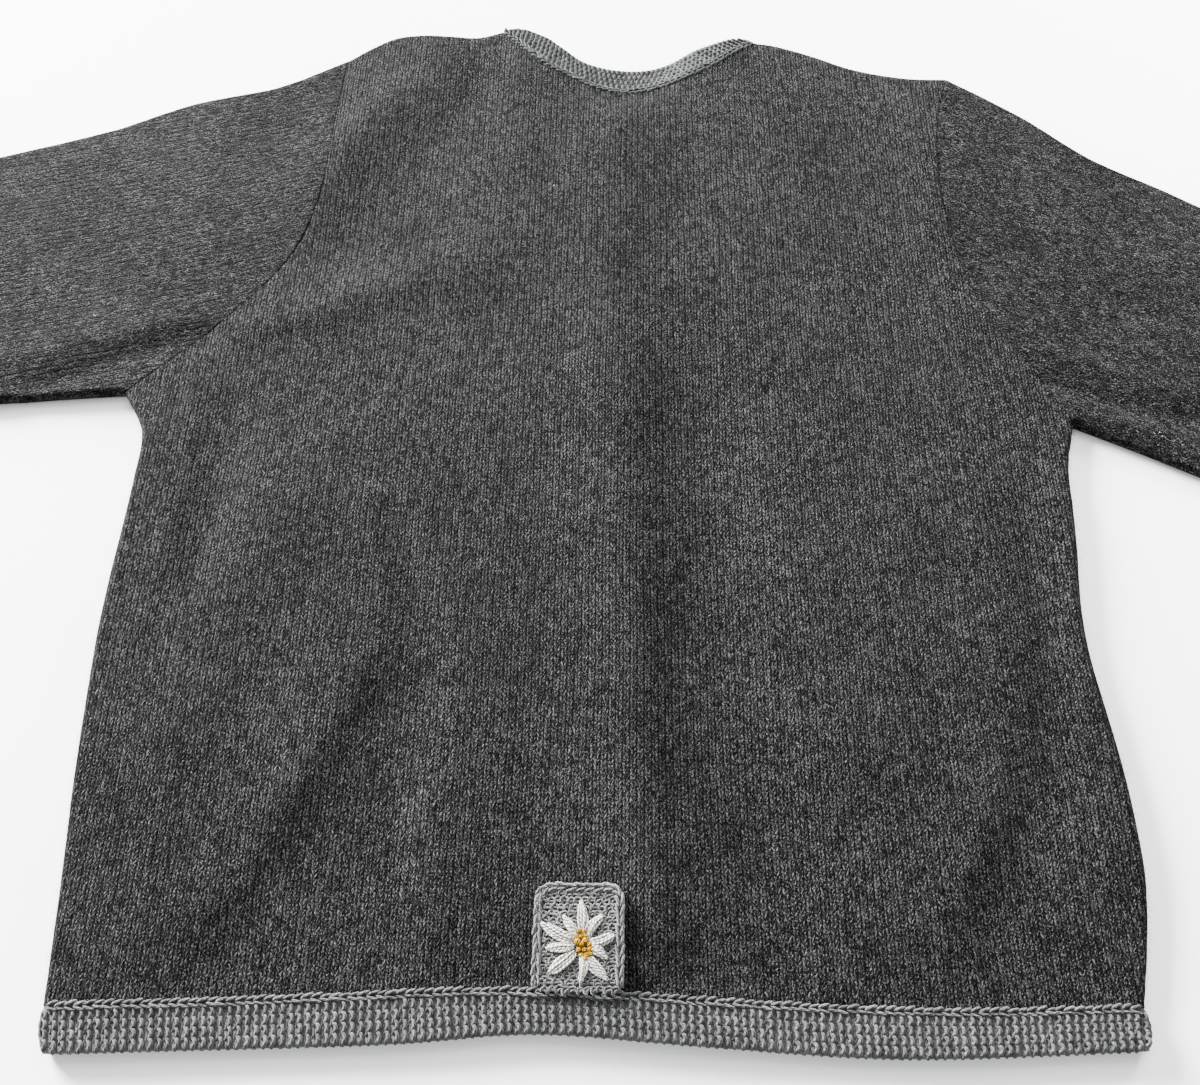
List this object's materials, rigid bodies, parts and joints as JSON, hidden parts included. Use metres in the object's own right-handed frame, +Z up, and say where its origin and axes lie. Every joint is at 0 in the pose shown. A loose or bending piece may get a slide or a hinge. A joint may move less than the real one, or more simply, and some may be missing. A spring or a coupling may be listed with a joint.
{
  "type": "wool sweater",
  "caption": "Knitted wool sweater lying flat with its back up, crocheted bands at neck, hem and cuffs, and an embroidered flower patch on the hem.",
  "frame": {"origin": "middle of the box round the whole sweater, on the table it lies on", "axes": "+X to the right as one looks down at the back with the hem nearest, +Y from the hem to the neck, +Z up off the table"},
  "size_m": [1.431, 0.677, 0.0128],
  "materials": {
    "charcoal_knit": "charcoal melange wool, plain knitted, slightly felted",
    "grey_crochet": "grey melange wool, crocheted in ridges"
  },
  "bodies": {
    "root": {"back_panel": "charcoal_knit", "front_panel": "charcoal_knit", "sleeve_left": "charcoal_knit", "sleeve_right": "charcoal_knit", "cuff_left": "grey_crochet", "cuff_right": "grey_crochet", "hem_band": "grey_crochet", "neck_band": "grey_crochet", "patch": "grey_crochet"}
  },
  "joints": []
}
